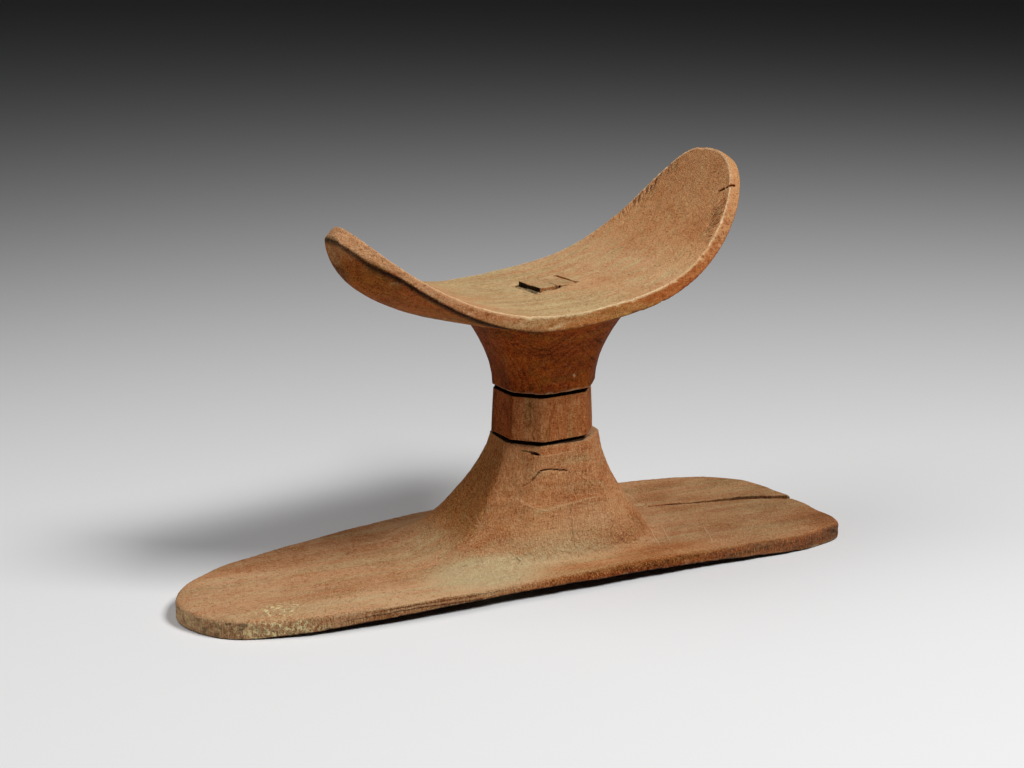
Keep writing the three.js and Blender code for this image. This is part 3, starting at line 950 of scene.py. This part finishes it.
def finish_base():
    piece = make_base()
    points, facing, wear, dirt = studied(piece)
    x, y, z = points.T
    near = partial(blob, points)
    stem = ease(z, 9, 24)
    plank = 1 - stem
    front = ease(-facing[:, 1], 0.2, 0.95) * plank
    # The faces of the stem at -X, behind the arris that comes down its front corner.
    arris_y = -7.1 - 0.215 * (55 - z)
    left = ease(y - arris_y, -1.5, 1) * ease(-x, 8, 14) * stem
    right_end = ease(x, 40, 85) * plank
    low_front = near((5, -30, 14), (40, 16, 20))
    far_right = ease(x, 92, 122) * plank * (1 - 0.9 * ease(y, -35, -10))
    stem_front = stem * ease(-x, 0, 20)
    foot_front = near((-15, -27, 13), (36, 12, 10))
    foot = near((-42, -33, 8), (34, 20, 8)) + 0.4 * near((0, -33, 10), (30, 8, 8))
    beside_foot = near((22, -42, 8), (60, 16, 16))
    left_edge = ease(-x, 110, 150) * (1 - ease(facing[:, 2], 0.2, 0.6))
    # The plank's underside, which is darkened as painted shade.
    below = ease(-facing[:, 2], 0.3, 0.8) * ease(-z, -7, -5)

    # Darker: the stem, the blunt end, the front edge and the narrow end's back, and the underside
    # as painted shade.
    tone = 0.26 + 0.04 * stem + 0.06 * right_end - 0.03 * left + 0.3 * front + 0.22 * far_right
    tone += 0.1 * right_end * noise(points, (14, 7, 9), 36) + 0.1 * beside_foot
    tone += 0.1 * ease(y - 0.18 * x, 20, 55) * ease(-x, 40, 90)
    tone += 0.06 * ease(z, 22, 34) + 0.08 * front * ease(x, -40, 0)
    tone += 0.09 * front * between(-x, 20, 50, 95, 120) + below
    # Paler: low on the stem's front, round its foot, along the narrow end's front and at its tip.
    tone -= 0.2 * near((-75, -40, 8), (70, 16, 20)) + 0.16 * low_front
    tone -= 0.1 * near((-150, -10, 8), (30, 30, 20))
    tone -= 0.08 * stem_front + 0.14 * foot_front + 0.06 * foot
    tone -= front * (0.12 * ease(-x, 60, 100) + 0.14 * ease(-x, 110, 140))

    hue = 0.33 - 0.02 * right_end - 0.1 * far_right + 0.1 * left - 0.12 * stem - 0.15 * foot_front
    hue += 0.18 * near((-42, -30, 8), (50, 22, 10)) + 0.15 * near((-60, 0, 8), (60, 20, 10))
    hue -= 0.15 * near((-95, 16, 8), (60, 18, 10))
    hue += 0.25 * ease(x, 85, 110) * ease(y, -30, -5) * plank
    # Painted shade tint, strongest on the stem's faces at -X and along the front edge.
    deep = 0.2 * stem + 0.12 * stem_front * (1 - left) + 0.5 * left + 0.1 * right_end
    deep += 0.35 * front * ease(x, -80, -20) + 0.25 * beside_foot
    crust = near((-134, -34, 9), (13, 9, 6)) + 0.9 * near((-142, -46, 4), (34, 12, 6))
    dust = 0.9 * foot + 0.35 * foot_front + 0.1 * crust + 0.1 * right_end + 0.12 * low_front
    crust += 0.45 * left_edge
    # Painted shade: the stem's top under the block goes almost black, and the underside dark.
    covered = octagon(x - BLOCK_CENTRE[0], y - BLOCK_CENTRE[1], OCTAGON, OCTAGON, 1) < -1
    dirt = np.maximum(dirt, np.where(covered & (z > STEM_TOP - 0.3), 0.95, 0.75 * below))
    patchy = ease(noise(points, 1.6, 35), 0.2, 0.5)
    dirt = np.maximum(dirt, 0.5 * left_edge * patchy)
    tooled = 0.15 + 0.15 * stem + 0.6 * left + 0.4 * foot + 0.15 * right_end
    tooled += 0.5 * front * (1 - 0.7 * ease(x, 30, 60))
    top = PLANK_THICKNESS
    ridge = [
        (-22.8, -19.3, 34.6), (-16.8, -24.4, 30.9), (-11.8, -25, 29.4), (-2.5, -24.6, 30.6),
        (14.6, -22.4, 32), (26.2, -14.5, 29.7),
    ]
    # The ridge and the scratches on the stem, at its foot at -X and on the plank. Each line has
    # its points, its width, the axis it is drawn along and its strength.
    scratches = [
        (ridge, 1.3, 1, 0.55),
        ([(13.9, -19.8, 42), (18.8, -20, 31.5), (38.2, -20.9, 9.3)], 1.3, 1, 0.35),
        ([(-12, -20.3, 52.3), (-2.5, -20.4, 52.4), (15.2, -16, 53.3)], 1.0, 1, 0.5),
        ([(-46.9, 9, 12.6), (-45.9, -17.1, 8.9)], 1.0, 0, 0.9),
        ([(-44.7, 11.9, 16), (-42.5, -14.8, 15.7)], 1.0, 0, 0.9),
        ([(-38.6, -1.8, 23.7), (-37.6, -14.4, 22.6)], 0.9, 0, 0.8),
        ([(-36.4, -9.7, 26.3), (-35.5, -16, 22.8)], 1.1, 0, 1.0),
        ([(44, -15.8, 10), (39.8, -34.4, top)], 0.9, 2, 0.9),
        ([(52, -14, top), (46, -33, top)], 0.8, 2, 0.8),
        ([(69.1, -22.7, top), (66.7, -30.2, top), (62.8, -41, top)], 0.9, 2, 1.0),
        ([(92, -28, top), (84, -37, top)], 0.8, 2, 0.7),
        ([(104, -20, top), (112, -36, top)], 0.8, 2, 0.6),
        ([(57, 16, top), (79, 12, top)], 0.8, 2, 0.7),
        ([(60, 33, top), (57.4, 15.7, top), (59.6, 5.5, top)], 0.8, 2, 0.8),
        ([(-115.7, -47.6, top), (-84.8, -48.5, top), (-47, -48.6, top)], 1.3, 2, 0.8),
        ([(-110, -49.7, 5.6), (-80, -50, 6.3), (-46, -50, 5.4)], 0.9, 1, 0.6),
        ([(-102, -41.4, top), (-71.7, -40.4, top), (-47.2, -35.9, top)], 0.7, 2, 0.3),
    ]
    # Dark lines in the cracks and splits, in the front edge's grain and in small holes.
    dark_lines = [
        (STEM_CRACK, 0.7, 1, 0.35),
        ([(-112, -49.6, 4.6), (-84, -50, 5.6), (-52, -50, 4.6)], 0.8, 1, 0.6),
        ([(-95, -49.8, 6.8), (-70, -50, 6.9), (-40, -50, 6.2)], 0.7, 1, 0.5),
        (STEM_SPLIT, 1.0, 1, 0.75),
        ([(x, y, top) for x, y in CRACK[:4]], 0.9, 2, 0.75),
        ([(x, y, top) for x, y in CRACK[3:]], 1.7, 2, 0.65),
        ([(12.3, -19.9, 48), (15.6, -17.3, 45)], 0.7, 1, 0.5),
        ([(11.6, -23.6, 27.7), (15.5, -23.5, 27.1)], 0.8, 1, 0.6),
        ([(-27.6, -29.3, 9.2), (-26.6, -31, 8.6)], 1.2, 2, 0.8),
        ([(-45.2, 0, 14.4), (-45, -1.5, 14.2)], 1.2, 0, 0.8),
    ]
    material = wood("base_wood", 0, 1.0, 2, scratches, dark_lines)
    dress(
        piece, "base", "base_wood", material, tone=tone, hue=hue, deep=deep, dust=dust, dirt=dirt,
        wear=wear, tooled=tooled, crust=crust,
    )


def finish_block():
    piece = make_block()
    points, facing, wear, dirt = studied(piece)
    facing_x, facing_y, facing_z = facing.T
    left = ease(-facing_x, 0.75, 0.95)
    front = ease(-facing_y, 0.5, 0.8) * ease(-facing_x, 0, 0.2)
    tone = 0.56 + 0.12 * left - 0.1 * front + 0.08 * noise(points, (3, 3, 12), 32)
    # Painted shade: the top and bottom faces, hidden between the parts, go almost black.
    dirt = np.maximum(dirt, 0.95 * ease(np.abs(facing_z), 0.8, 0.95))
    # The painted shade tint is stronger on the faces at -X.
    dress(
        piece, "middle_block", "block_wood", wood("block_wood", 2, 4.0, streaky=0.12), tone=tone,
        hue=0.3, deep=0.35 + 0.4 * left, dirt=dirt, wear=0.7 * wear, tooled=0.25,
    )


def finish_neckrest():
    piece = make_neckrest()
    points, facing, wear, dirt = studied(piece)
    x, _, z = points.T
    up = facing[:, 2]
    local = stem_to_seat(points)
    around, inner = rim_position(local)
    horn = ease(np.abs(local[:, 0]), 38, 66)
    neck = 1 - ease(z, NECK_TOP - 8, NECK_TOP)
    under = ease(-up, -0.2, 0.5) * (1 - neck)
    top = ease(up, 0.1, 0.3) * (1 - neck)
    side = (1 - top) * (1 - neck) * (1 - under)
    left_horn = ease(-x, 40, 70)
    # Tone by facing, partly painted shade: pale on top, darker underneath, darkest on the neck.
    tone = 0.17 * top + 0.36 * side + 0.6 * under + 0.72 * neck
    tone += 0.12 * side * blob(local, (50, -30, 12), (45, 30, 25)) - 0.05 * top * ease(x, 15, 35)
    tone += 0.04 * under * left_horn - 0.03 * side * left_horn + 0.06 * horn * top
    hue = 0.33 + 0.1 * top * (1 - horn) - 0.25 * side - 0.15 * horn * top
    hue += 0.2 * side * ease(x, 65, 80) - 0.15 * top * ease(-x, 20, 50)
    hue += 0.35 * side * left_horn + 0.3 * under * ease(-x, 70, 95)
    hue += 0.4 * between(z, 104, 112, 120, 124)
    # Painted shade tint: full on the neck and most of the underside, less on the sides and top.
    deep = neck + under * (1 - 0.35 * between(-x, 40, 60, 75, 95))
    deep += 0.25 * top * horn * ease(x, 0, 40) + 0.08 * top
    deep += side * (0.1 + 0.45 * ease(x, -30, 10) * (1 - ease(z, 130, 150)))
    # Grime has gathered on the underside near the -X tip. The dark line just under the rim is
    # painted shade.
    near_tip = ease(noise(points, 9, 34), 0, 0.7) * ease(-x, 70, 95)
    steep = np.gradient(seat_height(local[:, 0] + np.array([[-0.1], [0], [0.1]])), 0.1, axis=0)[1]
    depth = (seat_height(local[:, 0]) - local[:, 2]) / np.hypot(1, steep)
    below_rim = depth - rim_thickness(local[:, 0])
    near_rim = (1 - ease(inner, 5, 9)) * (1 - top)
    dark_line = near_rim * between(below_rim, -0.3, 0, 0.5, 2.2)
    dark_line = dark_line * (0.6 + 0.4 * ease(-x, 20, 45) - 0.1 * ease(-x, 84, 96))
    dirt = np.maximum(dirt, np.maximum(0.55 * under * near_tip, 0.95 * dark_line))
    # Painted shade: the neck's downward face, resting on the block, goes almost black.
    dirt = np.maximum(dirt, 0.95 * neck * ease(-up, 0.8, 0.95))
    torn, scored = blade_marks(local, facing, inner)
    tooled = np.maximum(0.25 * neck, np.maximum(0.9 * torn, scored))
    paint(piece, "rim_along", 0.5 + around / RIM_REACH)
    paint(piece, "rim_inside", np.where(up > 0.15, inner, RIM_DEPTH) / RIM_DEPTH)
    scratches = [
        ([(3.1, -20.8, 86.9), (3.6, -20.8, 86.2)], 1.6, 1, 1.0),
        ([(-67.8, -44.9, 129.2), (-58, -46.8, 127)], 1.0, 1, 0.5),
    ]
    dark_lines = [
        (RIM_CRACK[:3], 0.5, 2, 0.6),
        ([(-25.4, -4.7, 99.5), (-24.5, -5.8, 97.5), (-23.6, -6.7, 95.4)], 1.0, 0, 0.7),
        ([(-12.2, -4.4, 121.2), (-10.2, -10, 121.3), (-8.5, -13.3, 121.4)], 0.8, 2, 0.6),
        # Painted shadow along the wedge's front edge, and painted shade in the notch at its -X end.
        ([(3.4, -6.8, 121.6), (13.1, -5.4, 122.4)], 1.0, 2, 0.9),
        ([(2.2, -7.1, 121.6), (4.2, -6.8, 121.7)], 1.4, 2, 0.9),
        ([(-65.6, -45.9, 128.4), (-61, -46.7, 126.9)], 0.8, 1, 0.8),
        ([(-61, -46.7, 126.9), (-54, -47.4, 124.6)], 0.6, 1, 0.4),
    ]
    material = wood("neckrest_wood", 0, 7.0, None, scratches, dark_lines)
    dress(
        piece, "neckrest", "neckrest_wood", material, tone=tone, hue=hue, deep=deep, dirt=dirt,
        wear=wear, tooled=tooled,
    )


def finish_bars():
    bars = (
        ("tenon", TENON_SIDES, TENON_FOOT, 0, 41),
        ("wedge", WEDGE_SIDES, WEDGE_FOOT, WEDGE_TAPER, 51),
    )
    for node, sides, foot, taper, seed in bars:
        piece = make_bar(node + "_bar", sides, foot, taper, seed)
        points, facing, wear, dirt = studied(piece)
        top = ease(facing[:, 2], 0.5, 0.9)
        tone = 0.55 - 0.27 * top
        # The -X side, part of which stands proud in the seat, is painted black all the way down as
        # shade.
        dirt = np.maximum(dirt, ease(-facing[:, 0], 0.5, 0.9))
        # Painted shade also fills the notch in front, where the two pieces meet.
        dirt = np.maximum(dirt, blob(points, (3.1, -6.3, 123), (1.8, 1.8, 3)))
        hue = 0.5 + 0.2 * top
        wear *= 0.6
        material = wood(node + "_wood", 0, float(seed))
        dress(piece, node, node + "_wood", material, tone=tone, hue=hue, dirt=dirt, wear=wear)


# ---- floor, light and camera ----

CAMERA_FROM_STEM = (-335.5, -687.3, 289.8)
CAMERA_YAW = math.radians(24.95)
CAMERA_PITCH = math.radians(15.5)
CAMERA_LENS = 64.02


def make_floor():
    mesh = bpy.data.meshes.new("floor")
    reach = 20
    corners = [(-reach, -reach, 0), (reach, -reach, 0), (reach, reach, 0), (-reach, reach, 0)]
    mesh.from_pydata(corners, [], [(0, 1, 2, 3)])
    floor = new_object("floor", mesh)
    s = Shader("pale_floor", 0.9, 0.1)
    s.put(s.surface, {"Base Color": (0.8, 0.8, 0.8, 1)})
    mesh.materials.append(s.material)


def make_lamp(name, place_at, aim, size, power):
    """A square soft lamp. Places are metres from the point of the floor under the stem."""
    data = bpy.data.lights.new(name, "AREA")
    data.shape = "SQUARE"
    data.size = size
    data.energy = power
    lamp = new_object(name, data)
    origin = Vector((*(AXIS * MM), 0))
    lamp.location = origin + Vector(place_at)
    lamp.rotation_euler = (Vector(aim) - Vector(place_at)).to_track_quat("-Z", "Y").to_euler()


def make_light():
    make_lamp("key", (0.476, -0.657, 1.108), (-0.3, -0.3, 0), 0.42, 16.8)
    make_lamp("fill", (-0.47, 0.08, 0.71), (-0.09, -0.3, 0), 0.5, 2.5)
    world = bpy.data.worlds.new("studio")
    world.use_nodes = True
    world.node_tree.nodes["Background"].inputs["Color"].default_value = (1, 1, 1, 1)
    world.node_tree.nodes["Background"].inputs["Strength"].default_value = 0.01
    bpy.context.scene.world = world
    bpy.context.scene.view_settings.view_transform = "Standard"


def make_camera():
    data = bpy.data.cameras.new("camera")
    data.lens = CAMERA_LENS
    data.sensor_width = 36  # full frame, which the lens is given for
    camera = new_object("camera", data)
    x, y, z = CAMERA_FROM_STEM
    camera.location = Vector((x + AXIS[0], y + AXIS[1], z)) * MM
    camera.rotation_euler = Euler((math.pi / 2 - CAMERA_PITCH, 0, -CAMERA_YAW), "XYZ")
    bpy.context.scene.camera = camera


make_camera()
make_floor()
make_light()
finish_base()
finish_block()
finish_neckrest()
finish_bars()
